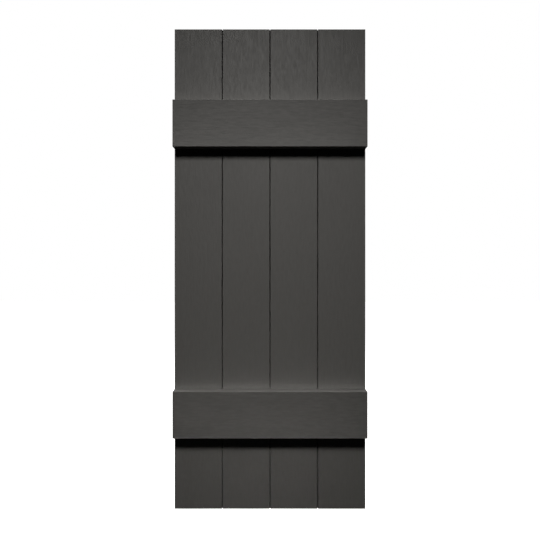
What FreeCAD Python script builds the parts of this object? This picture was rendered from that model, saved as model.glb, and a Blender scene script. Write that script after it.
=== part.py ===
import FreeCAD
import Part
import math
import os

# Fixed board and batten shutter, in millimetres.
# Four moulded boards stand edge to edge and two battens cross their faces. Every board and
# batten is an open-backed moulding: a face skin with tapered walls and ribs behind it.
# Beside each joint the board edges lean away from each other at the face, which leaves a steep V.
# Screws driven from behind go through the board skins into bosses inside the battens.
# The back is the plane Y = 0 against the wall, the face looks along -Y and Z is up.
# The origin is the middle of the back.

# Boards, named from left to right as seen from the front
board_names = ("left_outer_board", "left_inner_board", "right_inner_board", "right_outer_board")
board_length = 889.0
board_width = 88.4
board_depth = 19.0
board_skin = 2.6
board_wall = 2.4
board_edge_round = 0.7
board_end_round = 0.4
board_rib = 2.0
pocket_round = 3.0
joint_width = 1.7
joint_depth = 5.0
bays_between_battens = 6
bays_past_batten = 2

# Battens, the upper one and its mirror image below the middle
batten_sides = {"upper_batten": 1, "lower_batten": -1}
batten_height = 85.2
batten_depth = 25.4
batten_end_distance = 137.3
batten_skin = 2.6
batten_wall = 2.4
batten_round = 0.6
batten_rib = 2.0
boss_wall = 2.8
boss_web = 1.6
boss_web_height = 11.0

# Screws that hold the battens, two to each board and batten
screw_spacing = 44.0
screw_radius = 2.1
screw_length = 18.0
screw_tip = 4.0
screw_head_radius = 4.2
screw_head_height = 2.6
screw_head_rim = 0.9
board_hole_clearance = 0.3
pilot_clearance = 0.05
pilot_run_out = 2.5

# Taper of the pocket walls and bosses, so that they leave the mould
mould_draft_deg = 1.0

# How far cutting shapes run past the faces they open
overshoot = 1.0

# Places worked out from the sizes above
half_length = board_length / 2
board_face_y = -board_depth
board_floor_y = board_face_y + board_skin
batten_length = board_width * len(board_names)
batten_front_y = board_face_y - batten_depth
batten_floor_y = batten_front_y + batten_skin
batten_centre_z = half_length - batten_end_distance - batten_height / 2
board_centres = [board_width * (i + 0.5) - batten_length / 2 for i in range(len(board_names))]
draft_slope = math.tan(math.radians(mould_draft_deg))
pilot_radius = screw_radius + pilot_clearance
pilot_depth = screw_length - board_skin + pilot_run_out
backward = FreeCAD.Vector(0, 1, 0)


def eased_block(x_low, x_high, z_low, z_high, front_y, back_y, radius):
    """A block whose front edges and corners are rounded and whose back edges stay sharp."""
    corner = FreeCAD.Vector(x_low, front_y, z_low)
    block = Part.makeBox(x_high - x_low, back_y - front_y, z_high - z_low, corner)
    middle_y = (front_y + back_y) / 2
    eased = [edge for edge in block.Edges if edge.CenterOfMass.y < middle_y + radius / 2]
    return block.makeFillet(radius, eased)


def rounded_rectangle(x_low, x_high, z_low, z_high, y, radius):
    """A closed wire in the plane y with a round at each corner."""
    corners = (
        (x_high - radius, z_high - radius),
        (x_low + radius, z_high - radius),
        (x_low + radius, z_low + radius),
        (x_high - radius, z_low + radius),
    )
    arcs = []
    for quarter, (x, z) in enumerate(corners):
        turns = [math.radians(90 * quarter + step) for step in (0, 45, 90)]
        points = [FreeCAD.Vector(x + radius * math.cos(a), y, z + radius * math.sin(a)) for a in turns]
        arcs.append(Part.Arc(*points))
    edges = []
    for arc, following in zip(arcs, arcs[1:] + arcs[:1]):
        edges.append(arc.toShape())
        edges.append(Part.LineSegment(arc.EndPoint, following.StartPoint).toShape())
    return Part.Wire(edges)


def pocket(x_low, x_high, z_low, z_high, floor_y, mouth_y):
    """A hollow that widens from its floor to its mouth by the mould draft on every wall."""
    end_y = mouth_y + overshoot
    grow = (end_y - floor_y) * draft_slope
    floor = rounded_rectangle(x_low, x_high, z_low, z_high, floor_y, pocket_round)
    mouth = rounded_rectangle(
        x_low - grow, x_high + grow, z_low - grow, z_high + grow, end_y, pocket_round + grow
    )
    return Part.makeLoft([floor, mouth], True, True)


def bays(low, high, dividers, wall, divider_thickness):
    """Clear stretches between an outer wall, the dividers in order, and the other outer wall."""
    starts = [low + wall] + [d + divider_thickness / 2 for d in dividers]
    ends = [d - divider_thickness / 2 for d in dividers] + [high - wall]
    return list(zip(starts, ends))


def rib_heights():
    """Heights of the cross ribs: one behind each batten, the rest evenly between and past them."""
    inner_pitch = 2 * batten_centre_z / bays_between_battens
    outer_pitch = (half_length - batten_centre_z) / bays_past_batten
    inner = [i * inner_pitch - batten_centre_z for i in range(bays_between_battens + 1)]
    outer = [batten_centre_z + i * outer_pitch for i in range(1, bays_past_batten)]
    return sorted(inner + outer + [-z for z in outer])


def screw_heights(side):
    """The two screw heights behind one batten, above and below the rib there."""
    middle = side * batten_centre_z
    return [middle - screw_spacing / 2, middle + screw_spacing / 2]


def half_section(x, middle_x, is_joint):
    """Edges of one side of a board's section: up from the back, up the joint's slope, round to the face."""
    inward = math.copysign(1, middle_x - x)
    set_back = joint_width / 2 if is_joint else 0
    lean = math.atan2(set_back, joint_depth)
    square = math.radians(90)
    centre_x = x + inward * (set_back + board_edge_round * (1 - math.sin(lean)) / math.cos(lean))
    centre_y = board_face_y + board_edge_round

    def on_round(angle):
        round_x = centre_x - inward * board_edge_round * math.cos(angle)
        return FreeCAD.Vector(round_x, centre_y - board_edge_round * math.sin(angle), -half_length)

    line = [FreeCAD.Vector(x, 0, -half_length)]
    if is_joint:
        line.append(FreeCAD.Vector(x, board_face_y + joint_depth, -half_length))
    line.append(on_round(lean))
    edges = [Part.LineSegment(start, end).toShape() for start, end in zip(line, line[1:])]
    edges.append(Part.Arc(line[-1], on_round((lean + square) / 2), on_round(square)).toShape())
    return edges, line[0], on_round(square)


def is_end_edge(edge):
    """True for an edge round either end of a board, apart from the one on the back plane."""
    middle = edge.CenterOfMass
    return abs(middle.z) > half_length / 2 and middle.y < board_face_y / 10


def board_block(x_low, x_high, left_joint, right_joint):
    """A solid board: its section carried along its length, with the end edges of the face eased."""
    middle_x = (x_low + x_high) / 2
    left_edges, left_back, left_face = half_section(x_low, middle_x, left_joint)
    right_edges, right_back, right_face = half_section(x_high, middle_x, right_joint)
    face_edge = Part.LineSegment(left_face, right_face).toShape()
    back_edge = Part.LineSegment(right_back, left_back).toShape()
    outline = Part.Wire(left_edges + [face_edge] + right_edges[::-1] + [back_edge])
    block = Part.Face(outline).extrude(FreeCAD.Vector(0, 0, board_length))
    ends = [edge for edge in block.Edges if is_end_edge(edge)]
    return block.makeFillet(board_end_round, ends)


def make_board(x):
    """One board: eased face, tapered pockets between the ribs, clearance holes for the screws."""
    x_low = x - board_width / 2
    x_high = x + board_width / 2
    left_joint = x != board_centres[0]
    right_joint = x != board_centres[-1]
    board = board_block(x_low, x_high, left_joint, right_joint)
    cuts = []
    for z_low, z_high in bays(-half_length, half_length, rib_heights(), board_wall, board_rib):
        cuts.append(pocket(x_low + board_wall, x_high - board_wall, z_low, z_high, board_floor_y, 0))
    hole_length = board_skin + 2 * overshoot
    for side in batten_sides.values():
        for z in screw_heights(side):
            mouth = FreeCAD.Vector(x, board_face_y - overshoot, z)
            cuts.append(Part.makeCylinder(screw_radius + board_hole_clearance, hole_length, mouth, backward))
    return board.cut(cuts)


def boss_with_web(x, side):
    """The two screw bosses behind one board and the low web that ties them to the batten's walls."""
    root_y = batten_front_y + batten_skin / 2
    tall = board_face_y - root_y
    end_radius = pilot_radius + boss_wall
    root_radius = end_radius + tall * draft_slope
    pieces = []
    for z in screw_heights(side):
        root = FreeCAD.Vector(x, root_y, z)
        pieces.append(Part.makeCone(root_radius, end_radius, tall, root, backward))
    web_half = batten_height / 2 - batten_wall / 2
    web_depth = batten_floor_y + boss_web_height - root_y
    web_corner = FreeCAD.Vector(x - boss_web / 2, root_y, side * batten_centre_z - web_half)
    pieces.append(Part.makeBox(boss_web, web_depth, 2 * web_half, web_corner))
    return pieces


def make_batten(side):
    """One batten: eased face, a rib over each board joint, bosses and webs behind each board."""
    x_half = batten_length / 2
    z_low = side * batten_centre_z - batten_height / 2
    z_high = z_low + batten_height
    shell = eased_block(-x_half, x_half, z_low, z_high, batten_front_y, board_face_y, batten_round)
    joints = [x + board_width / 2 for x in board_centres[:-1]]
    hollows = []
    for x_low, x_high in bays(-x_half, x_half, joints, batten_wall, batten_rib):
        z_pair = (z_low + batten_wall, z_high - batten_wall)
        hollows.append(pocket(x_low, x_high, *z_pair, batten_floor_y, board_face_y))
    bosses = []
    pilots = []
    for x in board_centres:
        bosses.extend(boss_with_web(x, side))
        for z in screw_heights(side):
            bottom = FreeCAD.Vector(x, board_face_y - pilot_depth, z)
            pilots.append(Part.makeCylinder(pilot_radius, pilot_depth + overshoot, bottom, backward))
    return shell.cut(hollows).fuse(bosses).removeSplitter().cut(pilots)


def make_screw(x, z):
    """One pan-head screw seated on the inside of a board's skin, its point inside the boss."""
    crown_y = board_floor_y + screw_head_height
    rim_y = board_floor_y + screw_head_rim
    tip_y = board_floor_y - screw_length
    shoulder_y = tip_y + screw_tip
    dome_mid = FreeCAD.Vector(x + screw_head_radius * 0.72, (crown_y * 2 + rim_y) / 3, z)
    crown = FreeCAD.Vector(x, crown_y, z)
    rim = FreeCAD.Vector(x + screw_head_radius, rim_y, z)
    stem = [
        rim,
        FreeCAD.Vector(x + screw_head_radius, board_floor_y, z),
        FreeCAD.Vector(x + screw_radius, board_floor_y, z),
        FreeCAD.Vector(x + screw_radius, shoulder_y, z),
        FreeCAD.Vector(x, tip_y, z),
        crown,
    ]
    edges = [Part.Arc(crown, dome_mid, rim).toShape()]
    for start, end in zip(stem, stem[1:]):
        edges.append(Part.LineSegment(start, end).toShape())
    half_section = Part.Face(Part.Wire(edges))
    return half_section.revolve(crown, backward, 360)


def make_screw_set(side):
    """The screws of one batten, as separate solids."""
    screws = [make_screw(x, z) for x in board_centres for z in screw_heights(side)]
    return Part.makeCompound(screws)


def build():
    nodes = {}
    for name, x in zip(board_names, board_centres):
        nodes[name] = make_board(x)
    for name, side in batten_sides.items():
        nodes[name] = make_batten(side)
        nodes[name + "_screws"] = make_screw_set(side)
    os.makedirs("parts", exist_ok=True)
    for name, shape in nodes.items():
        shape.exportStep(os.path.join("parts", name + ".step"))
        solids = len(shape.Solids)
        print(f"{name}: {solids} solid(s), {shape.Volume / 1000:.1f} cm3, valid {shape.isValid()}")


build()
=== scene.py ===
import bpy
import math
import numpy as np
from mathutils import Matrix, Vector


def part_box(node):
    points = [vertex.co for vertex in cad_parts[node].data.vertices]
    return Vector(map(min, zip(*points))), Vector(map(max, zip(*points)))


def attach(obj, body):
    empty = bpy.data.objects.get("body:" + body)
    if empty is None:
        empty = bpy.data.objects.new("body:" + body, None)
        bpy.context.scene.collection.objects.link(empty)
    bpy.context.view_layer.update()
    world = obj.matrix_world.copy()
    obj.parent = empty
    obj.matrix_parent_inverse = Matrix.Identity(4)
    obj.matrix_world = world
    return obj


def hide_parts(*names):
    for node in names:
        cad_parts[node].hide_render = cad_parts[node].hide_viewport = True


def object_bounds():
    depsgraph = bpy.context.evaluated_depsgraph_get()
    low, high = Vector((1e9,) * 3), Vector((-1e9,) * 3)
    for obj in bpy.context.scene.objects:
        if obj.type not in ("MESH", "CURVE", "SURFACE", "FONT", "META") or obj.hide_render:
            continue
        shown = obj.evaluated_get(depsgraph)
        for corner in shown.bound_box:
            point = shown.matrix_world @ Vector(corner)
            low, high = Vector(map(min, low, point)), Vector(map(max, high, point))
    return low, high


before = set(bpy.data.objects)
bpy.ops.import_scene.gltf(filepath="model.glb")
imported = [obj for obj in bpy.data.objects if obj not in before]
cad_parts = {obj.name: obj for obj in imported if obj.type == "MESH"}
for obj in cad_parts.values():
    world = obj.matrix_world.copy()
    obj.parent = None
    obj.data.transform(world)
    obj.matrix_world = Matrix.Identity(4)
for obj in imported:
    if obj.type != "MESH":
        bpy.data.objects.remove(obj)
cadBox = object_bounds()
mm = 0.001               # the shutter's own lengths are written in millimetres times mm
plainDepth = 0.4         # the grain's usual depth, which sets the sheen of plain places too
weldDistance = 0.0005 * mm
print("shutter: frame loaded with", len(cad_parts), "nodes")


# Numpy helpers

# eased step: 0 below low, 1 above high, 3t^2 - 2t^3 between
def easedStep(low, high, value):
    t = np.clip((value - low) / (high - low), 0.0, 1.0)
    return t * t * (3.0 - 2.0 * t)


# lattice noise: random heights from -1 to 1 on whole numbers of (p, q), joined by 6t^5 - 15t^4 + 10t^3
def latticeNoise(p, q, seed):
    pCell = np.floor(p).astype(int)
    qCell = np.floor(q).astype(int)
    pFirst, qFirst = pCell.min(), qCell.min()
    size = (pCell.max() - pFirst + 2, qCell.max() - qFirst + 2)
    height = np.random.default_rng(seed).uniform(-1.0, 1.0, size)
    i, j = pCell - pFirst, qCell - qFirst
    s, t = p - pCell, q - qCell
    s = s ** 3 * (s * (6.0 * s - 15.0) + 10.0)
    t = t ** 3 * (t * (6.0 * t - 15.0) + 10.0)
    low = height[i, j] * (1.0 - s) + height[i + 1, j] * s
    high = height[i, j + 1] * (1.0 - s) + height[i + 1, j + 1] * s
    return low * (1.0 - t) + high * t


# one closed loop of a rounded rectangle: four quarter arcs, anticlockwise from the low, low corner
def roundedLoop(pLow, pHigh, qLow, qHigh, radius, arcSteps):
    turn = np.linspace(0.0, 0.5 * np.pi, arcSteps + 1)
    pCentre = np.array([pLow, pHigh, pHigh, pLow]) + radius * np.array([1, -1, -1, 1])
    qCentre = np.array([qLow, qLow, qHigh, qHigh]) + radius * np.array([1, 1, -1, -1])
    start = np.pi + 0.5 * np.pi * np.arange(4)
    angle = start[:, None] + turn[None, :]
    p = pCentre[:, None] + radius * np.cos(angle)
    q = qCentre[:, None] + radius * np.sin(angle)
    return np.stack([p.ravel(), q.ravel()], axis=1)


# quads between two closed loops of the same length, facing out when the second loop lies behind the first
def stripFaces(first, second):
    return np.stack([first, second, np.roll(second, -1), np.roll(first, -1)], axis=1)


# Collects points and faces, then welds equal points and hands whole arrays to a mesh
class MeshBasket:
    def __init__(self):
        self.points, self.pressed, self.face, self.faces = [], [], [], []
        self.count = 0

    def addPoints(self, points, pressed=plainDepth, face=0.0):
        flat = np.asarray(points, float).reshape(-1, 3)
        spread = lambda value: np.broadcast_to(np.asarray(value, float).ravel(), (len(flat),))
        self.points.append(flat)
        self.pressed.append(spread(pressed))
        self.face.append(spread(face))
        self.count += len(flat)
        return np.arange(self.count - len(flat), self.count).reshape(np.shape(points)[:-1])

    def addFaces(self, faces):            # rows of indices, all rows of one array equally long
        faces = np.asarray(faces)
        self.faces.append(faces.reshape(-1, faces.shape[-1]))

    def makeObject(self, name, sharpDegrees):
        points = np.concatenate(self.points)
        keys = np.round(points / weldDistance).astype(np.int64)
        unused, kept, where = np.unique(keys, axis=0, return_index=True, return_inverse=True)
        corners, totals = [], []
        for faces in self.faces:
            faces = where.ravel()[faces]
            fresh = faces != np.roll(faces, 1, axis=1)     # a corner welded to the one before goes
            fresh &= fresh.sum(1, keepdims=True) > 2
            corners.append(faces[fresh])
            totals.append(fresh.sum(1)[fresh.any(1)])
        corners, totals = np.concatenate(corners), np.concatenate(totals)
        mesh = bpy.data.meshes.new(name)
        mesh.vertices.add(len(kept))
        mesh.vertices.foreach_set("co", points[kept].ravel().astype(np.float32))
        mesh.loops.add(len(corners))
        mesh.loops.foreach_set("vertex_index", corners.astype(np.int32))
        mesh.polygons.add(len(totals))
        mesh.polygons.foreach_set("loop_start", (np.cumsum(totals) - totals).astype(np.int32))
        mesh.polygons.foreach_set("loop_total", totals.astype(np.int32))
        mesh.update(calc_edges=True)
        for title, values in (("pressedDepth", self.pressed), ("faceShare", self.face)):
            attribute = mesh.attributes.new(title, "FLOAT", "POINT")
            attribute.data.foreach_set("value", np.concatenate(values)[kept].astype(np.float32))
        mesh.polygons.foreach_set("use_smooth", np.ones(len(mesh.polygons), bool))
        mesh.set_sharp_from_angle(angle=math.radians(sharpDegrees))
        if mesh.validate():
            print("shutter:", name, "had faces to mend")
        piece = bpy.data.objects.new(name, mesh)
        bpy.context.scene.collection.objects.link(piece)
        return piece


# Moulded panels

# what boards and battens have in common: sections as in the solids, with the edges at the back broken
moulding = {
    "roundSteps": 4,             # facets round each eased edge
    "plainEdge": 2.5 * mm,       # the grain fades out this near to the edges of the face
    "rimEase": 0.25 * mm,        # broken edge along the back
    "rimMargin": 0.3 * mm,       # flat border between that edge and the bays
    "skin": 2.6 * mm,
    "wall": 2.4 * mm,            # at the pocket floor
    "rib": 2.0 * mm,             # at the pocket floor
    "draft": math.tan(math.radians(1.0)),
    "pocketRound": 3.0 * mm,     # pocket corner, at the floor
    "mouthEase": 0.35 * mm,      # broken edge of each pocket mouth
    "floorFillet": 1.1 * mm,
    "filletSteps": 4,
    "cornerSteps": 8,            # facets round each pocket corner
    "sharpDegrees": 38.0,
}


# Pressed wood grain

# the grain's parts, with sizes as (along, across) and depths as shares of the relief
grain = {
    "wanderLength": 210 * mm,
    "sway": (62 * mm, 30 * mm),
    "ripple": (17 * mm, 9 * mm),
    "linePatch": (55 * mm, 14 * mm),     # patches in which ring lines come and go
    "lineRange": (-0.3, 0.7),            # noise from which a line starts to show, and shows fully
    "fibreLength": 14 * mm,
    "hairLength": 8 * mm,
    "hairPitch": 0.62,                   # share of the fibre pitch
    "mottle": (6.5 * mm, 4.0 * mm),
    "fibreDepth": 0.22,
    "hairDepth": 0.20,
    "mottleDepth": 0.14,
    "lineDepth": 0.14,
}


# lattice noise with cells of one size, given as (along, across)
def patchNoise(along, across, size, seed):
    return latticeNoise(along / size[0], across / size[1], seed)


# depth of the grain, 0 on the face to 1 in the deepest line, over arrays of across and along in metres
# rings: distance from a heart line that sinks under the face, r = sqrt(side^2 + (sink + slope * along)^2),
# cut into rings of one pitch, each with a narrow line that comes and goes along the board
# fibres: noise drawn out along the board in a coarse and a fine size, and a rounder mottle
def pressedGrain(across, along, look):
    seed = look["seed"]
    wander = look["wander"] * latticeNoise(along / grain["wanderLength"], across * 0.0, seed)
    sway = look["sway"] * patchNoise(along, across, grain["sway"], seed + 1)
    ripple = look["ripple"] * patchNoise(along, across, grain["ripple"], seed + 2)
    side = across - look["heartAcross"] + wander
    sink = look["heartSink"] + look["heartSlope"] * (along - look["heartAlong"])
    ring = (np.hypot(side, sink) + sway + ripple) / look["ringPitch"]
    part = ring - np.floor(ring)
    comes = easedStep(*grain["lineRange"], patchNoise(along, across, grain["linePatch"], seed + 3))
    line = comes * np.exp(-((part - 0.5) / look["lineWidth"]) ** 2)
    side = side + sway
    pitch = look["fibrePitch"]
    fibre = patchNoise(along, side, (grain["fibreLength"], pitch), seed + 4)
    hair = patchNoise(along, side, (grain["hairLength"], grain["hairPitch"] * pitch), seed + 5)
    mottle = patchNoise(along, side, grain["mottle"], seed + 6)
    depth = plainDepth + grain["fibreDepth"] * fibre + grain["hairDepth"] * hair
    depth = depth + grain["mottleDepth"] * mottle + grain["lineDepth"] * line
    return np.clip(depth, 0.0, 1.0)


# Panel shapes

# one side of the section, from the broken back edge up to the face, as (out from the middle, y) with the
# way in for each point: a straight side, a leaning stretch beside a joint, and a round of radius R whose
# centre lies R from the face and R from the lean: set back + R * (1 - sin(lean)) / cos(lean) from the side
def sectionSide(half, frontY, backY, look, besideJoint):
    ease, radius = moulding["rimEase"], look["edgeRound"]
    points = [(half - ease, backY, -1, 0), (half, backY - ease, -1, 0)]
    setBack, lean = 0.0, 0.0
    if besideJoint:
        setBack = look["jointWidth"] / 2
        lean = math.atan2(setBack, look["jointDepth"])
        points.append((half, frontY + look["jointDepth"], -1, 0))
    turn = np.linspace(lean, 0.5 * np.pi, moulding["roundSteps"] + 1)
    out, back = np.cos(turn), np.sin(turn)
    centre = half - setBack - radius * (1 - math.sin(lean)) / math.cos(lean)
    arc = np.stack([centre + radius * out, frontY + radius - radius * back, -out, back], axis=1)
    skirtY = frontY + radius + 2 * ease                 # a point just before the round keeps the side flat
    skirt = (half - setBack + (skirtY - frontY) * math.tan(lean), skirtY, -math.cos(lean), math.sin(lean))
    return np.concatenate([np.array(points + [skirt]), arc])


# the whole section from the left back edge to the right one, and how much of the grain each point takes
def panelSection(pRange, frontY, backY, look, besideJoint):
    middle, half = np.mean(pRange), np.ptp(pRange) / 2
    left = sectionSide(half, frontY, backY, look, besideJoint[0]) * [-1, 1, -1, 1]
    right = sectionSide(half, frontY, backY, look, besideJoint[1])[::-1]
    face = np.linspace(left[-1, 0], right[0, 0], look["cellsAcross"] + 1)[1:-1]
    face = np.stack([face, np.full_like(face, frontY), np.zeros_like(face), np.ones_like(face)], axis=1)
    section = np.concatenate([left, face, right])
    fromSide = np.minimum(section[:, 0] - left[-1, 0], right[0, 0] - section[:, 0])
    section[:, 0] += middle
    return section, easedStep(0.0, moulding["plainEdge"], fromSide)


# stations along the panel: q, and how far the section is drawn in where the ends are eased
def panelStations(qRange, cells, radius):
    turn = np.linspace(0.5 * np.pi, 0.0, moulding["roundSteps"] + 1)[:-1]
    q = np.linspace(qRange[0] + radius, qRange[1] - radius, cells + 1)
    endQ = radius - radius * np.sin(turn)
    drawn = radius - radius * np.cos(turn)
    q = np.concatenate([qRange[0] + endQ, q, (qRange[1] - endQ)[::-1]])
    return q, np.concatenate([drawn, np.zeros(cells + 1), drawn[::-1]])


# the outside as one grid: section point + way in * end easing, pushed back by the grain depth on the face
def panelGrid(pRange, qRange, frontY, backY, look, besideJoint, grainAt):
    section, takesGrain = panelSection(pRange, frontY, backY, look, besideJoint)
    q, drawn = panelStations(qRange, look["cellsAlong"], look["endRound"])
    p = section[None, :, 0] + section[None, :, 2] * drawn[:, None]
    y = section[None, :, 1] + section[None, :, 3] * drawn[:, None]
    q = np.broadcast_to(q[:, None], p.shape)
    fromEnd = np.minimum(q - qRange[0], qRange[1] - q)
    share = takesGrain[None, :] * easedStep(0.0, moulding["plainEdge"], fromEnd)
    pressed = grainAt(p, q)
    grid = np.stack([p, y + look["relief"] * share * pressed, q], axis=-1)
    return grid, plainDepth + share * (pressed - plainDepth), takesGrain


# pocket section as (inset from the mouth line, depth): eased mouth, drafted wall, filleted floor
def pocketSection(depth):
    ease, fillet = moulding["mouthEase"], moulding["floorFillet"]
    turn = np.linspace(0.0, 0.5 * np.pi, moulding["filletSteps"] + 1)
    wallFoot = depth * moulding["draft"]
    mouth = np.stack([-ease + ease * np.sin(turn), ease - ease * np.cos(turn)], axis=1)
    floor = np.stack([wallFoot + fillet * (1 - np.cos(turn)), depth - fillet + fillet * np.sin(turn)], axis=1)
    return np.concatenate([mouth, floor])


# the edge of one bay's share of the rim: the mouth's own points carried out to the bay's rectangle
def bayEdge(mouth, pLow, pHigh, qLow, qHigh):
    steps = moulding["cornerSteps"]
    edge = mouth.reshape(4, steps + 1, 2).copy()
    early, late = slice(0, steps // 2), slice(steps // 2 + 1, None)
    edge[0, early, 0], edge[0, late, 1] = pLow, qLow
    edge[1, early, 1], edge[1, late, 0] = qLow, pHigh
    edge[2, early, 0], edge[2, late, 1] = pHigh, qHigh
    edge[3, early, 1], edge[3, late, 0] = qHigh, pLow
    edge[:, steps // 2] = [(pLow, qLow), (pHigh, qLow), (pHigh, qHigh), (pLow, qHigh)]
    return edge


# the outline of all bays together, anticlockwise, from the bays' own edge points
def baysOutline(edges):
    middle = moulding["cornerSteps"] // 2
    rising, falling = [], []
    for lower, upper in zip(edges[:-1], edges[1:]):
        rising += [lower[2][: middle + 1], upper[1][middle + 1:]]
        falling += [lower[3][middle + 1:], upper[0][: middle + 1]]
    return np.concatenate([edges[0][0], edges[0][1]] + rising + [edges[-1][2], edges[-1][3]] + falling[::-1])


# points (p, q) set at one y
def atDepth(flat, y):
    return np.insert(flat, 1, y, axis=1)


# one bay behind the face: its share of the rim, the pocket's walls and the flat floor
def addBay(basket, place, backY, depth, limits, walls):
    pLow, pHigh, qLow, qHigh = limits
    grow = depth * moulding["draft"]
    inP, inLow, inHigh = walls[0] - grow, walls[1] - grow, walls[2] - grow
    loops = []
    for inset, back in pocketSection(depth):
        corner = moulding["pocketRound"] + grow - inset
        outline = roundedLoop(pLow + inP + inset, pHigh - inP - inset, qLow + inLow + inset,
                              qHigh - inHigh - inset, corner, moulding["cornerSteps"])
        loops.append(atDepth(outline, backY - back))
    rings = basket.addPoints(place(np.array(loops)))
    for outer, inner in zip(rings[:-1], rings[1:]):
        basket.addFaces(stripFaces(outer, inner))
    basket.addFaces(rings[-1][None, ::-1])
    return loops[0][:, [0, 2]], rings[0]


# one moulded panel in its own frame: p across, q along, y from the face back
def mouldedPanel(name, pRange, qRange, frontY, backY, dividers, look, besideJoint, grainAt, place):
    basket = MeshBasket()
    grid, pressed, takesGrain = panelGrid(pRange, qRange, frontY, backY, look, besideJoint, grainAt)
    onFace = np.broadcast_to(takesGrain[None, :], pressed.shape)
    outside = basket.addPoints(place(grid), pressed, onFace)
    quads = [outside[:-1, :-1], outside[:-1, 1:], outside[1:, 1:], outside[1:, :-1]]
    basket.addFaces(np.stack(quads, axis=-1))
    basket.addFaces(outside[-1][None, :])
    basket.addFaces(outside[0][None, ::-1])

    # bays between the dividers, each with its share of the rim
    depth = backY - frontY - moulding["skin"]
    border = moulding["rimEase"] + moulding["rimMargin"]
    lines = np.concatenate([[qRange[0]], dividers, [qRange[1]]])
    edges = []
    for bay, (qLow, qHigh) in enumerate(zip(lines[:-1], lines[1:])):
        atLow, atHigh = bay == 0, bay == len(lines) - 2
        walls = (moulding["wall"], moulding["wall"] if atLow else moulding["rib"] / 2,
                 moulding["wall"] if atHigh else moulding["rib"] / 2)
        mouth, mouthRing = addBay(basket, place, backY, depth, (*pRange, qLow, qHigh), walls)
        edge = bayEdge(mouth, pRange[0] + border, pRange[1] - border,
                       qLow + (border if atLow else 0.0), qHigh - (border if atHigh else 0.0))
        edges.append(edge)
        edgeRing = basket.addPoints(place(atDepth(edge.reshape(-1, 2), backY)))
        basket.addFaces(stripFaces(edgeRing, mouthRing))

    # flat border from the close-set points of the back edge to the bays' outline
    inner = baysOutline(edges)
    innerRing = basket.addPoints(place(atDepth(inner, backY)))
    around = lambda a: np.concatenate([a[0, [0, -1]], a[1:, -1], a[-1:, 0], a[-2:0:-1, 0]])
    outerRing, outer = around(outside), around(grid)[:, [0, 2]]
    nearest = ((outer[None, :] - inner[:, None]) ** 2).sum(-1).argmin(1)
    following = np.roll(nearest, -1)
    for k, span in enumerate((following - nearest) % len(outer)):
        ends = innerRing[[k, (k + 1) % len(inner)]]
        run = outerRing[(nearest[k] + np.arange(span, -1, -1)) % len(outer)]
        basket.addFaces(np.concatenate([ends, run])[None, :])
    return basket.makeObject(name, moulding["sharpDegrees"])


# Boards

boardLook = {
    "edgeRound": 0.7 * mm,       # long edges of the face
    "endRound": 0.4 * mm,        # eased edges round both ends
    "jointWidth": 1.7 * mm,      # the steep V between two boards
    "jointDepth": 5.0 * mm,
    "relief": 0.16 * mm,         # deepest grain line
    "cellsAcross": 120,
    "cellsAlong": 520,
    "fibrePitch": 2.3 * mm,
    "ringPitch": 6.4 * mm,
    "lineWidth": 0.17,           # share of a ring
    "wander": 5.0 * mm,
    "sway": 2.2 * mm,
    "ripple": 0.7 * mm,
}

# where each board was cut from its log: the heart line's place across, how deep it lies and how it rises
boardLogs = {
    "left_outer_board": {"seed": 11, "heartAcross": 61 * mm, "heartSink": 24 * mm, "heartSlope": 0.03,
                         "heartAlong": 0.0},
    "left_inner_board": {"seed": 23, "heartAcross": -13 * mm, "heartSink": 26 * mm, "heartSlope": 0.13,
                         "heartAlong": 300 * mm},
    "right_inner_board": {"seed": 37, "heartAcross": -20 * mm, "heartSink": 20 * mm, "heartSlope": 0.11,
                          "heartAlong": 330 * mm},
    "right_outer_board": {"seed": 53, "heartAcross": -55 * mm, "heartSink": 18 * mm, "heartSlope": -0.04,
                          "heartAlong": 40 * mm},
}

boardRibs = {"baysBetweenBattens": 6, "baysPastBatten": 2}      # as the solids have them


# heights of the cross ribs: one behind each batten, the rest evenly between and past them
def ribHeights(battenZ, halfLength):
    inner = np.linspace(-battenZ, battenZ, boardRibs["baysBetweenBattens"] + 1)
    outer = np.linspace(battenZ, halfLength, boardRibs["baysPastBatten"] + 1)[1:-1]
    return np.concatenate([-outer[::-1], inner, outer])


def boardPlace(points):          # across is X, along is Z
    return points


# one board over its node: p is X, q is Z, with a joint on each side that has a neighbour
def makeBoard(node):
    low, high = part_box(node)
    look = {**boardLook, **boardLogs[node]}
    middleX = (low.x + high.x) / 2
    battenLow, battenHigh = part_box("upper_batten")
    ribs = ribHeights((battenLow.z + battenHigh.z) / 2, high.z)
    besideJoint = (node != list(boardLogs)[0], node != list(boardLogs)[-1])
    grainAt = lambda across, along: pressedGrain(across - middleX, along, look)
    piece = mouldedPanel(node + "_moulding", (low.x, high.x), (low.z, high.z), low.y, high.y, ribs,
                         look, besideJoint, grainAt, boardPlace)
    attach(piece, "root")
    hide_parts(node)
    return piece


boards = [makeBoard(node) for node in boardLogs]
print("shutter: boards", [len(board.data.polygons) for board in boards])


# Battens

battenLook = {
    "edgeRound": 0.6 * mm,
    "endRound": 0.6 * mm,
    "relief": 0.13 * mm,
    "cellsAcross": 120,
    "cellsAlong": 210,
    "fibrePitch": 2.3 * mm,
    "ringPitch": 6.0 * mm,
    "lineWidth": 0.17,
    "wander": 4.0 * mm,
    "sway": 2.0 * mm,
    "ripple": 0.7 * mm,
}

battenLogs = {
    "upper_batten": {"seed": 71, "heartAcross": 34 * mm, "heartSink": 22 * mm, "heartSlope": 0.05,
                     "heartAlong": 60 * mm},
    "lower_batten": {"seed": 83, "heartAcross": -38 * mm, "heartSink": 21 * mm, "heartSlope": -0.06,
                     "heartAlong": -40 * mm},
}


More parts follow.
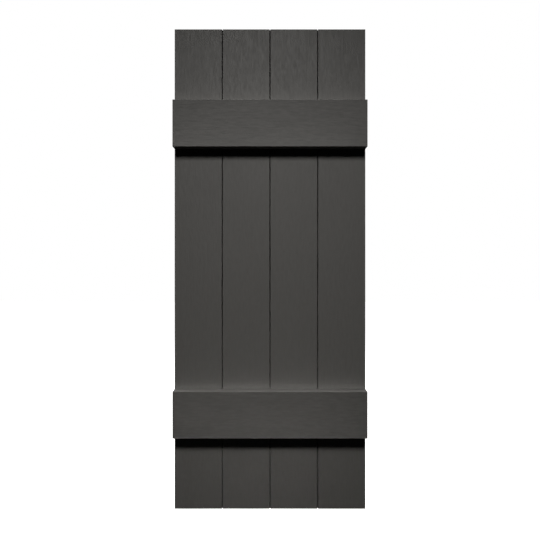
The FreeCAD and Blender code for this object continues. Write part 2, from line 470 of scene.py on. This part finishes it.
def battenPlace(points):         # along is X, across is -Z, so that faces keep their sense
    return np.stack([points[..., 2], points[..., 1], -points[..., 0]], axis=-1)


# one batten over its node: p is -Z, q is X, with a rib over each joint of the boards
def makeBatten(node):
    low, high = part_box(node)
    look = {**battenLook, **battenLogs[node]}
    middleZ = (low.z + high.z) / 2
    joints = [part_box(board)[1].x for board in list(boardLogs)[:-1]]
    grainAt = lambda across, along: pressedGrain(across + middleZ, along, look)
    piece = mouldedPanel(node + "_moulding", (-high.z, -low.z), (low.x, high.x), low.y, high.y, joints,
                         look, (False, False), grainAt, battenPlace)
    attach(piece, "root")
    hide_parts(node)
    return piece


battens = [makeBatten(node) for node in battenLogs]
print("shutter: battens", [len(batten.data.polygons) for batten in battens])


# Screws

screwLook = {
    "headRadius": 4.2 * mm,
    "headHeight": 2.6 * mm,
    "headRim": 0.9 * mm,
    "domePower": 3.35,           # fullness of the pan head
    "crossWidth": 0.62 * mm,     # half the width of a recess arm
    "crossReach": 2.35 * mm,
    "crossDepth": 1.5 * mm,
    "crossWall": (0.75, 1.25),   # where a recess wall starts and ends, in half arm widths
    "crossFade": (0.3, 1.02),    # where the recess starts to rise and ends, as shares of its reach
    "crossPower": 0.5,           # fullness of the recess
    "crossRings": (0.12, 1.08, 9),       # first and last ring over the recess in reaches, and their number
    "domeRings": (0.68, 1.0, 6),         # the same for the dome, in head radii
    "headEdge": 0.2 * mm,        # broken edge under the head
    "shankRadius": 2.1 * mm,
    "threadDepth": 0.5 * mm,
    "threadPitch": 1.8 * mm,
    "threadSlope": 2.6,          # steepness of the ridge
    "threadStart": 1.6 * mm,     # length over which the thread rises under the head
    "shankLength": 18.0 * mm,
    "tipLength": 4.0 * mm,
    "tipShare": 0.06,            # taper left at the point
    "tipPower": 0.8,
    "turnSteps": 48,
    "shankSteps": 60,
    "sharpDegrees": 40.0,
}


# pan head: height over the seat = rim + (crown - rim) * (1 - (r / R)^power), less a cross recess
# recess: a pit along two arms, deepest at the middle, with slanting walls
def screwHead(turn):
    look = screwLook
    reach = look["crossReach"]
    inner = np.linspace(*look["crossRings"]) * reach
    rings = np.concatenate([inner, np.linspace(*look["domeRings"]) * look["headRadius"]])
    radius, angle = np.meshgrid(rings, turn, indexing="ij")
    x, z = radius * np.cos(angle), radius * np.sin(angle)
    dome = 1.0 - (radius / look["headRadius"]) ** look["domePower"]
    height = look["headRim"] + (look["headHeight"] - look["headRim"]) * dome
    arm = np.minimum(np.abs(x), np.abs(z))
    wallStart, wallEnd = look["crossWall"]
    fadeStart, fadeEnd = look["crossFade"]
    inArm = 1.0 - easedStep(wallStart * look["crossWidth"], wallEnd * look["crossWidth"], arm)
    inReach = 1.0 - easedStep(fadeStart * reach, fadeEnd * reach, radius)
    height = height - look["crossDepth"] * inArm * inReach ** look["crossPower"]
    return np.stack([x, height, z], axis=-1)


# shank: radius = root + thread, the thread a ridge that winds with the turn, all drawn in towards the tip
def screwShank(turn):
    look = screwLook
    drop = np.linspace(0.0, 1.0, look["shankSteps"] + 1)[:, None] * look["shankLength"]
    wind = drop / look["threadPitch"] + turn[None, :] / (2 * np.pi)
    ridge = np.clip(1.0 - look["threadSlope"] * np.abs(wind - np.floor(wind) - 0.5), 0.0, 1.0)
    ridge = ridge * easedStep(0.0, look["threadStart"], drop)
    taper = np.clip((look["shankLength"] - drop) / look["tipLength"], look["tipShare"], 1.0)
    taper = taper ** look["tipPower"]
    radius = (look["shankRadius"] - look["threadDepth"] * (1.0 - ridge)) * taper
    height = np.broadcast_to(-drop, radius.shape)
    return np.stack([radius * np.cos(turn), height, radius * np.sin(turn)], axis=-1)


# one screw as a stack of rings from the crown to the tip, its seat at height 0 and its axis along +Y
def screwRings():
    look = screwLook
    turn = -np.linspace(0.0, 2 * np.pi, look["turnSteps"], endpoint=False)
    edge = look["headEdge"]
    rim = np.array([[look["headRadius"], edge], [look["headRadius"] - edge, 0.0]])
    rim = np.stack([rim[:, :1] * np.cos(turn), np.broadcast_to(rim[:, 1:], (2, len(turn))),
                    rim[:, :1] * np.sin(turn)], axis=-1)
    return np.concatenate([screwHead(turn), rim, screwShank(turn)])


# the screws of one batten: the same rings set down twice behind each board, spaced as their node is
def makeScrews(node, batten):
    low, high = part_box(node)
    battenLow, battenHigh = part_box(batten)
    spacing = (high.z - low.z) - 2 * screwLook["headRadius"]
    rings = screwRings()
    seat = high.y - screwLook["headHeight"]
    middleZ = (battenLow.z + battenHigh.z) / 2
    basket = MeshBasket()
    for board in boardLogs:
        boardLow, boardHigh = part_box(board)
        for side in (-0.5, 0.5):
            foot = np.array([(boardLow.x + boardHigh.x) / 2, seat, middleZ + side * spacing])
            index = basket.addPoints(rings + foot)
            for upper, lower in zip(index[:-1], index[1:]):
                basket.addFaces(stripFaces(upper, lower))
            basket.addFaces(index[0][None, :])
            basket.addFaces(index[-1][None, ::-1])
    piece = basket.makeObject(node + "_threaded", screwLook["sharpDegrees"])
    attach(piece, "root")
    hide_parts(node)
    return piece


screws = [makeScrews(batten + "_screws", batten) for batten in battenLogs]
print("shutter: screws", [len(screw.data.polygons) for screw in screws])


# Material helpers

# a new node with its own settings filled in
def addNode(tree, kind, **values):
    node = tree.nodes.new(kind)
    for name, value in values.items():
        setattr(node, name, value)
    return node


# a math node on one or two values, each a number or another node's socket
def mathNode(tree, operation, first, second=None, clamp=False):
    node = addNode(tree, "ShaderNodeMath", operation=operation, use_clamp=clamp)
    for socket, value in zip(node.inputs, (first, second)):
        if value is None:
            continue
        if isinstance(value, (int, float)):
            socket.default_value = value
        else:
            tree.links.new(value, socket)
    return node.outputs[0]


# colour = first * (1 - share) + second * share
def mixColour(tree, share, first, second):
    node = addNode(tree, "ShaderNodeMix", data_type="RGBA")
    for name, value in (("Factor_Float", share), ("A_Color", first), ("B_Color", second)):
        socket = next(s for s in node.inputs if s.identifier == name)
        if isinstance(value, (int, float, tuple)):
            socket.default_value = value
        else:
            tree.links.new(value, socket)
    return next(s for s in node.outputs if s.identifier == "Result_Color")


# noise from 0 to 1 around a half
def noiseValue(tree, vector, scale, detail, roughness=0.5):
    node = addNode(tree, "ShaderNodeTexNoise", noise_dimensions="3D")
    node.inputs["Scale"].default_value = scale
    node.inputs["Detail"].default_value = detail
    node.inputs["Roughness"].default_value = roughness
    tree.links.new(vector, node.inputs["Vector"])
    return node.outputs["Fac"]


# straight line from (fromLow, toLow) to (fromHigh, toHigh), level beyond both
def spreadValue(tree, value, fromLow, fromHigh, toLow, toHigh):
    node = addNode(tree, "ShaderNodeMapRange", clamp=True)
    titles = ("From Min", "From Max", "To Min", "To Max")
    for title, number in zip(titles, (fromLow, fromHigh, toLow, toHigh)):
        node.inputs[title].default_value = number
    tree.links.new(value, node.inputs["Value"])
    return node.outputs["Result"]


# Moulded vinyl

# pattern of the surface, and how much each part of it counts in tone, dullness and height
vinylGrain = {
    "streak": (620.0, 3.0, 0.6),         # noise scale, detail and roughness
    "pore": (1500.0, 1.0),
    "cloud": (9.0, 2.0),
    "peel": (900.0, 1.0),
    "poreRange": (0.60, 0.72),           # noise from which a pore starts, and is fully there
    "poreTone": 0.3,
    "streakTone": 0.4,
    "cloudTone": 0.8,
    "lineRange": (0.1, 0.7),             # pressed depth over which the lines turn dull
    "lineDull": 0.8,
    "poreDull": 0.2,
    "cloudDull": 0.2,
    "streakHeight": 0.7,
    "poreHeight": 0.8,
    "peelHeight": 0.4,
}


# shared surface: pores and streaks drawn out along the grain, and a slow cloud of tone
def makeVinylGroup():
    group = bpy.data.node_groups.new("pressedVinyl", "ShaderNodeTree")
    sockets = (("Place", "INPUT", "NodeSocketVector"), ("Drawn Place", "INPUT", "NodeSocketVector"),
               ("Pressed", "INPUT", "NodeSocketFloat"), ("Face", "INPUT", "NodeSocketFloat"),
               ("Tone", "INPUT", "NodeSocketColor"), ("Deep Tone", "INPUT", "NodeSocketColor"),
               ("Smooth", "INPUT", "NodeSocketFloat"), ("Dull", "INPUT", "NodeSocketFloat"),
               ("Colour", "OUTPUT", "NodeSocketColor"), ("Roughness", "OUTPUT", "NodeSocketFloat"),
               ("Height", "OUTPUT", "NodeSocketFloat"))
    for name, way, kind in sockets:
        group.interface.new_socket(name=name, in_out=way, socket_type=kind)
    entry = addNode(group, "NodeGroupInput").outputs
    leave = addNode(group, "NodeGroupOutput").inputs
    look = vinylGrain
    streak = noiseValue(group, entry["Drawn Place"], *look["streak"])
    pore = noiseValue(group, entry["Drawn Place"], *look["pore"])
    pore = spreadValue(group, pore, *look["poreRange"], 0.0, 1.0)
    cloud = noiseValue(group, entry["Place"], *look["cloud"])
    peel = noiseValue(group, entry["Place"], *look["peel"])

    # colour: deeper tone in the pressed lines and pores of the face, streaks and cloud everywhere
    pits = mathNode(group, "MULTIPLY", mathNode(group, "MULTIPLY", pore, entry["Face"]), look["poreTone"])
    fine = mathNode(group, "MULTIPLY", mathNode(group, "SUBTRACT", streak, 0.5), look["streakTone"])
    slow = mathNode(group, "MULTIPLY", mathNode(group, "SUBTRACT", cloud, 0.5), look["cloudTone"])
    lines = mathNode(group, "ADD", entry["Pressed"], pits)
    share = mathNode(group, "ADD", lines, mathNode(group, "ADD", fine, slow), clamp=True)
    group.links.new(mixColour(group, share, entry["Tone"], entry["Deep Tone"]), leave["Colour"])

    # roughness: duller in the lines, pores and clouds, smoother on the ridges
    dullLines = spreadValue(group, entry["Pressed"], *look["lineRange"], 0.0, look["lineDull"])
    dullPores = mathNode(group, "MULTIPLY", pore, look["poreDull"])
    dullCloud = mathNode(group, "MULTIPLY", cloud, look["cloudDull"])
    dullShare = mathNode(group, "ADD", mathNode(group, "ADD", dullLines, dullPores), dullCloud, clamp=True)
    wide = mathNode(group, "SUBTRACT", entry["Dull"], entry["Smooth"])
    rough = mathNode(group, "ADD", entry["Smooth"], mathNode(group, "MULTIPLY", wide, dullShare))
    group.links.new(rough, leave["Roughness"])

    # height: streaks and pores on the face, a faint orange peel on the plain sides and back
    faceHeight = mathNode(group, "SUBTRACT", mathNode(group, "MULTIPLY", streak, look["streakHeight"]),
                          mathNode(group, "MULTIPLY", pore, look["poreHeight"]))
    faceHeight = mathNode(group, "MULTIPLY", faceHeight, entry["Face"])
    plainShare = mathNode(group, "SUBTRACT", 1.0, entry["Face"])
    plainHeight = mathNode(group, "MULTIPLY", peel, look["peelHeight"])
    plainHeight = mathNode(group, "MULTIPLY", plainHeight, plainShare)
    group.links.new(mathNode(group, "ADD", faceHeight, plainHeight), leave["Height"])
    return group


vinylLook = {
    "tone": (0.0672, 0.0648, 0.0612, 1.0),
    "specular": 0.375,
    "grainStretch": 0.05,        # how far pores and streaks are drawn out
    "bumpHeight": 0.05 * mm,
}

# roughness of the ridges and of the lines, and the tone in the lines
boardSheen = {"smooth": 0.525, "dull": 0.625, "deepTone": (0.0605, 0.0583, 0.0551, 1.0)}
battenSheen = {"smooth": 0.605, "dull": 0.665, "deepTone": (0.0515, 0.0497, 0.0470, 1.0)}


# satin vinyl with the grain along one axis
def makeVinyl(name, group, stretch, sheen):
    material = bpy.data.materials.new(name)
    material.use_nodes = True
    tree = material.node_tree
    shader = tree.nodes["Principled BSDF"]
    shader.inputs["Specular IOR Level"].default_value = vinylLook["specular"]
    place = addNode(tree, "ShaderNodeTexCoord").outputs["Object"]
    drawn = addNode(tree, "ShaderNodeMapping")
    drawn.inputs["Scale"].default_value = stretch
    tree.links.new(place, drawn.inputs["Vector"])
    surface = addNode(tree, "ShaderNodeGroup", node_tree=group)
    tree.links.new(place, surface.inputs["Place"])
    tree.links.new(drawn.outputs["Vector"], surface.inputs["Drawn Place"])
    for title, socket in (("pressedDepth", "Pressed"), ("faceShare", "Face")):
        attribute = addNode(tree, "ShaderNodeAttribute", attribute_name=title)
        tree.links.new(attribute.outputs["Fac"], surface.inputs[socket])
    surface.inputs["Tone"].default_value = vinylLook["tone"]
    surface.inputs["Deep Tone"].default_value = sheen["deepTone"]
    surface.inputs["Smooth"].default_value = sheen["smooth"]
    surface.inputs["Dull"].default_value = sheen["dull"]
    bump = addNode(tree, "ShaderNodeBump")
    bump.inputs["Distance"].default_value = vinylLook["bumpHeight"]
    bump.inputs["Strength"].default_value = 1.0
    tree.links.new(surface.outputs["Height"], bump.inputs["Height"])
    tree.links.new(surface.outputs["Colour"], shader.inputs["Base Color"])
    tree.links.new(surface.outputs["Roughness"], shader.inputs["Roughness"])
    tree.links.new(bump.outputs["Normal"], shader.inputs["Normal"])
    return material


vinylGroup = makeVinylGroup()
drawnOut = vinylLook["grainStretch"]
boardVinyl = makeVinyl("boardVinyl", vinylGroup, (1.0, 1.0, drawnOut), boardSheen)
battenVinyl = makeVinyl("battenVinyl", vinylGroup, (drawnOut, 1.0, 1.0), battenSheen)
for piece in boards:
    piece.data.materials.append(boardVinyl)
for piece in battens:
    piece.data.materials.append(battenVinyl)


# Zinc plated steel

zincLook = {
    "bright": (0.46, 0.45, 0.42, 1.0),
    "dull": (0.27, 0.265, 0.25, 1.0),
    "roughness": (0.28, 0.45),   # of the bright and the dull grey
    "spangle": (420.0, 3.0),     # noise scale and detail
    "spangleRange": (0.3, 0.7),
    "ripple": (1600.0, 2.0),     # noise scale and detail of the bump
    "bumpHeight": 0.02 * mm,
}


# plated metal: spangle of bright and dull grey, with roughness that follows it
def makeZinc():
    material = bpy.data.materials.new("zincPlate")
    material.use_nodes = True
    tree = material.node_tree
    shader = tree.nodes["Principled BSDF"]
    shader.inputs["Metallic"].default_value = 1.0
    place = addNode(tree, "ShaderNodeTexCoord").outputs["Object"]
    spangle = noiseValue(tree, place, *zincLook["spangle"])
    share = spreadValue(tree, spangle, *zincLook["spangleRange"], 0.0, 1.0)
    rough = spreadValue(tree, spangle, *zincLook["spangleRange"], *zincLook["roughness"])
    tree.links.new(mixColour(tree, share, zincLook["bright"], zincLook["dull"]), shader.inputs["Base Color"])
    tree.links.new(rough, shader.inputs["Roughness"])
    bump = addNode(tree, "ShaderNodeBump")
    bump.inputs["Distance"].default_value = zincLook["bumpHeight"]
    tree.links.new(noiseValue(tree, place, *zincLook["ripple"]), bump.inputs["Height"])
    tree.links.new(bump.outputs["Normal"], shader.inputs["Normal"])
    return material


zincPlate = makeZinc()
for piece in screws:
    piece.data.materials.append(zincPlate)
print("shutter: materials done")


# Studio

studio = {
    "floorSize": 14.0,
    "floorTone": 0.8,
    "floorGap": (3.0, 5.0),      # to all but the camera the floor turns from dark to pale here on Y
    "darkFloor": 0.02,
    "shadeLevel": 0.90,          # how white the floor stays where the shutter shades it
    "shadeReach": (0.8, 2.2),    # metres from the foot over which the floor turns plain white
    "frontLevel": 0.004,         # light from the dim room in front
    "backLevel": 0.55,           # light from the white room behind
    "roomGap": (0.05, 0.6),      # to all but the camera the room turns from dim to white here on Y
    "lampTint": (1.0, 0.992, 0.972),
}

# the lamps: place, what they aim at, size, beam width in degrees and power, in metres and watts
lamps = {
    "overheadSoftbox": {"place": (-0.03, -1.30, 1.05), "aim": (-0.017, 0.0, -0.45), "size": (0.05, 0.40),
                        "beam": 66.3, "power": 4.12},
    "footSoftbox": {"place": (-0.03, -1.30, 1.05), "aim": (-0.032, 0.0, -0.385), "size": (0.30, 0.12),
                    "beam": 10.0, "power": 0.055},
    "backSoftbox": {"place": (0.0, 1.6, 1.3), "aim": (0.0, 0.0, 0.0), "size": (1.4, 1.0),
                    "beam": 180.0, "power": 10.0},
    "leftSoftbox": {"place": (-1.5, 0.9, 0.75), "aim": (0.0, 0.0, 0.0), "size": (0.9, 0.5),
                    "beam": 180.0, "power": 16.0},
    "rightSoftbox": {"place": (1.5, 0.9, 0.75), "aim": (0.0, 0.0, 0.0), "size": (0.9, 0.5),
                     "beam": 180.0, "power": 16.0},
}


def whiteForEyes(tree):          # 1 for rays from the camera, mirrors and glass, else 0
    path = addNode(tree, "ShaderNodeLightPath").outputs
    seen = mathNode(tree, "MAXIMUM", path["Is Camera Ray"], path["Is Glossy Ray"])
    return path, mathNode(tree, "MAXIMUM", seen, path["Is Transmission Ray"])


# the floor: one square at the shutter's foot, white to the camera, with the shade kept near the foot
def makeFloor():
    half = studio["floorSize"] / 2
    level = cadBox[0].z
    corners = [(-half, -half, level), (half, -half, level), (half, half, level), (-half, half, level)]
    mesh = bpy.data.meshes.new("studioFloor")
    mesh.from_pydata(corners, [], [(0, 1, 2, 3)])
    floor = bpy.data.objects.new("studioFloor", mesh)
    bpy.context.scene.collection.objects.link(floor)
    material = bpy.data.materials.new("paleFloor")
    material.use_nodes = True
    tree = material.node_tree
    tree.nodes.clear()
    path, seen = whiteForEyes(tree)
    place = addNode(tree, "ShaderNodeTexCoord").outputs["Object"]
    along = addNode(tree, "ShaderNodeSeparateXYZ")
    tree.links.new(place, along.inputs["Vector"])
    rear = spreadValue(tree, along.outputs["Y"], *studio["floorGap"], 0.0, 1.0)
    pale = mathNode(tree, "MAXIMUM", path["Is Camera Ray"], rear)
    dark, tone = studio["darkFloor"], studio["floorTone"]
    matte = addNode(tree, "ShaderNodeBsdfDiffuse")
    colour = mixColour(tree, pale, (dark, dark, dark, 1.0), (tone, tone, tone, 1.0))
    tree.links.new(colour, matte.inputs["Color"])
    flat = addNode(tree, "ShaderNodeVectorMath", operation="MULTIPLY")
    flat.inputs[1].default_value = (1.0, 1.0, 0.0)
    tree.links.new(place, flat.inputs[0])
    away = addNode(tree, "ShaderNodeVectorMath", operation="LENGTH")
    tree.links.new(flat.outputs["Vector"], away.inputs[0])
    near, far = studio["shadeReach"]
    white = spreadValue(tree, away.outputs["Value"], near, far, studio["shadeLevel"], 1.0)
    glow = addNode(tree, "ShaderNodeEmission")
    shown = mathNode(tree, "MULTIPLY", seen, pale)
    tree.links.new(mathNode(tree, "MULTIPLY", white, shown), glow.inputs["Strength"])
    both = addNode(tree, "ShaderNodeAddShader")
    tree.links.new(matte.outputs["BSDF"], both.inputs[0])
    tree.links.new(glow.outputs["Emission"], both.inputs[1])
    out = addNode(tree, "ShaderNodeOutputMaterial")
    tree.links.new(both.outputs["Shader"], out.inputs["Surface"])
    mesh.materials.append(material)


# the room: white to the camera, dim in front of the shutter and pale behind it
def makeWorld():
    world = bpy.data.worlds.new("studioRoom")
    world.use_nodes = True
    tree = world.node_tree
    tree.nodes.clear()
    path, seen = whiteForEyes(tree)
    direction = addNode(tree, "ShaderNodeSeparateXYZ")
    tree.links.new(addNode(tree, "ShaderNodeTexCoord").outputs["Generated"], direction.inputs["Vector"])
    rear = spreadValue(tree, direction.outputs["Y"], *studio["roomGap"], 0.0, 1.0)
    lit = spreadValue(tree, rear, 0.0, 1.0, studio["frontLevel"], studio["backLevel"])
    mirrored = mathNode(tree, "MAXIMUM", mathNode(tree, "MULTIPLY", rear, seen), lit)
    level = mathNode(tree, "MAXIMUM", mirrored, path["Is Camera Ray"])
    glow = addNode(tree, "ShaderNodeBackground")
    glow.inputs["Color"].default_value = (1.0, 1.0, 1.0, 1.0)
    tree.links.new(level, glow.inputs["Strength"])
    out = addNode(tree, "ShaderNodeOutputWorld")
    tree.links.new(glow.outputs["Background"], out.inputs["Surface"])
    bpy.context.scene.world = world


# an area lamp, which lights only the pieces in lit where that is given
def makeLamp(name, look, lit=None):
    light = bpy.data.lights.new(name, "AREA")
    light.shape = "RECTANGLE"
    light.size, light.size_y = look["size"]
    light.energy = look["power"]
    light.color = studio["lampTint"]
    lamp = bpy.data.objects.new(name, light)
    lamp.location = look["place"]
    along = Vector(look["aim"]) - Vector(look["place"])
    lamp.rotation_euler = along.to_track_quat("-Z", "Y").to_euler()
    light.spread = math.radians(look["beam"])
    lamp.visible_camera = False
    lamp.light_linking.receiver_collection = lit
    bpy.context.scene.collection.objects.link(lamp)


# small strips of light at each batten: a glow on each board above it, and two that light the batten alone,
# one from over its top edge and one before its foot
ledgeGlow = {
    "upper_batten": (0.0052, 0.0050, 0.0052, 0.0051),    # power for each board from left to right
    "lower_batten": (0.0036, 0.0046, 0.0044, 0.0042),
    "width": 16 * mm,
    "lift": 0.3 * mm,
    "beam": 180.0,
}
ledgeStrip = {
    "upper_batten": {"power": 0.036, "aside": 0.0},
    "lower_batten": {"power": 0.041, "aside": -20 * mm},
    "width": 4 * mm,
    "lift": 22 * mm,
    "beam": 180.0,
}
footStrip = {
    "upper_batten": {"power": 0.0225, "aside": -105 * mm},
    "lower_batten": {"power": 0.0090, "aside": -10 * mm},
    "away": 150 * mm,
    "width": 4 * mm,
    "past": 90 * mm,             # how far it runs past each end of the batten
    "beam": 61.0,
}


# one batten's lamps: a glow for each board, then the strips over its top edge and before its foot
def makeBattenLights(batten, lit):
    low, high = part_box(batten)
    for board, power in zip(boardLogs, ledgeGlow[batten]):
        boardLow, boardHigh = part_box(board)
        middle = (boardLow.x + boardHigh.x) / 2
        glow = (middle, boardLow.y - ledgeGlow["width"] / 2, high.z + ledgeGlow["lift"])
        makeLamp(batten + "_glow", {**ledgeGlow, "power": power, "place": glow,
                                    "aim": (glow[0], glow[1], glow[2] + 1.0),
                                    "size": (boardHigh.x - boardLow.x, ledgeGlow["width"])})
    length, middleX = high.x - low.x, (low.x + high.x) / 2
    strip = {**ledgeStrip, **ledgeStrip[batten]}
    ledge = (middleX + strip["aside"], low.y + strip["width"] / 2, high.z + strip["lift"])
    makeLamp(batten + "_ledge", {**strip, "place": ledge, "aim": (ledge[0], ledge[1], ledge[2] - 1.0),
                                 "size": (length, strip["width"])}, lit)
    strip = {**footStrip, **footStrip[batten]}
    foot = (middleX + strip["aside"], low.y - strip["away"], low.z)
    makeLamp(batten + "_foot", {**strip, "place": foot, "aim": (foot[0], low.y, foot[2]),
                                "size": (length + 2 * strip["past"], strip["width"])}, lit)


makeFloor()
makeWorld()
for name, look in lamps.items():
    makeLamp(name, look)
battenGroup = bpy.data.collections.new("battensAlone")
for piece in battens:
    battenGroup.objects.link(piece)
for batten in battenLogs:
    makeBattenLights(batten, battenGroup)
print("shutter: studio done")


# Camera

cameraLook = {"place": (0.0, -1.109, -0.00171), "lens": 39.2, "sensor": 36.0}
cameraData = bpy.data.cameras.new("photoCamera")
cameraData.lens = cameraLook["lens"]
cameraData.sensor_width = cameraLook["sensor"]
camera = bpy.data.objects.new("photoCamera", cameraData)
camera.location = cameraLook["place"]
camera.rotation_euler = (math.radians(90.0), 0.0, 0.0)
bpy.context.scene.collection.objects.link(camera)
bpy.context.scene.camera = camera
bpy.context.scene.view_settings.view_transform = "Standard"
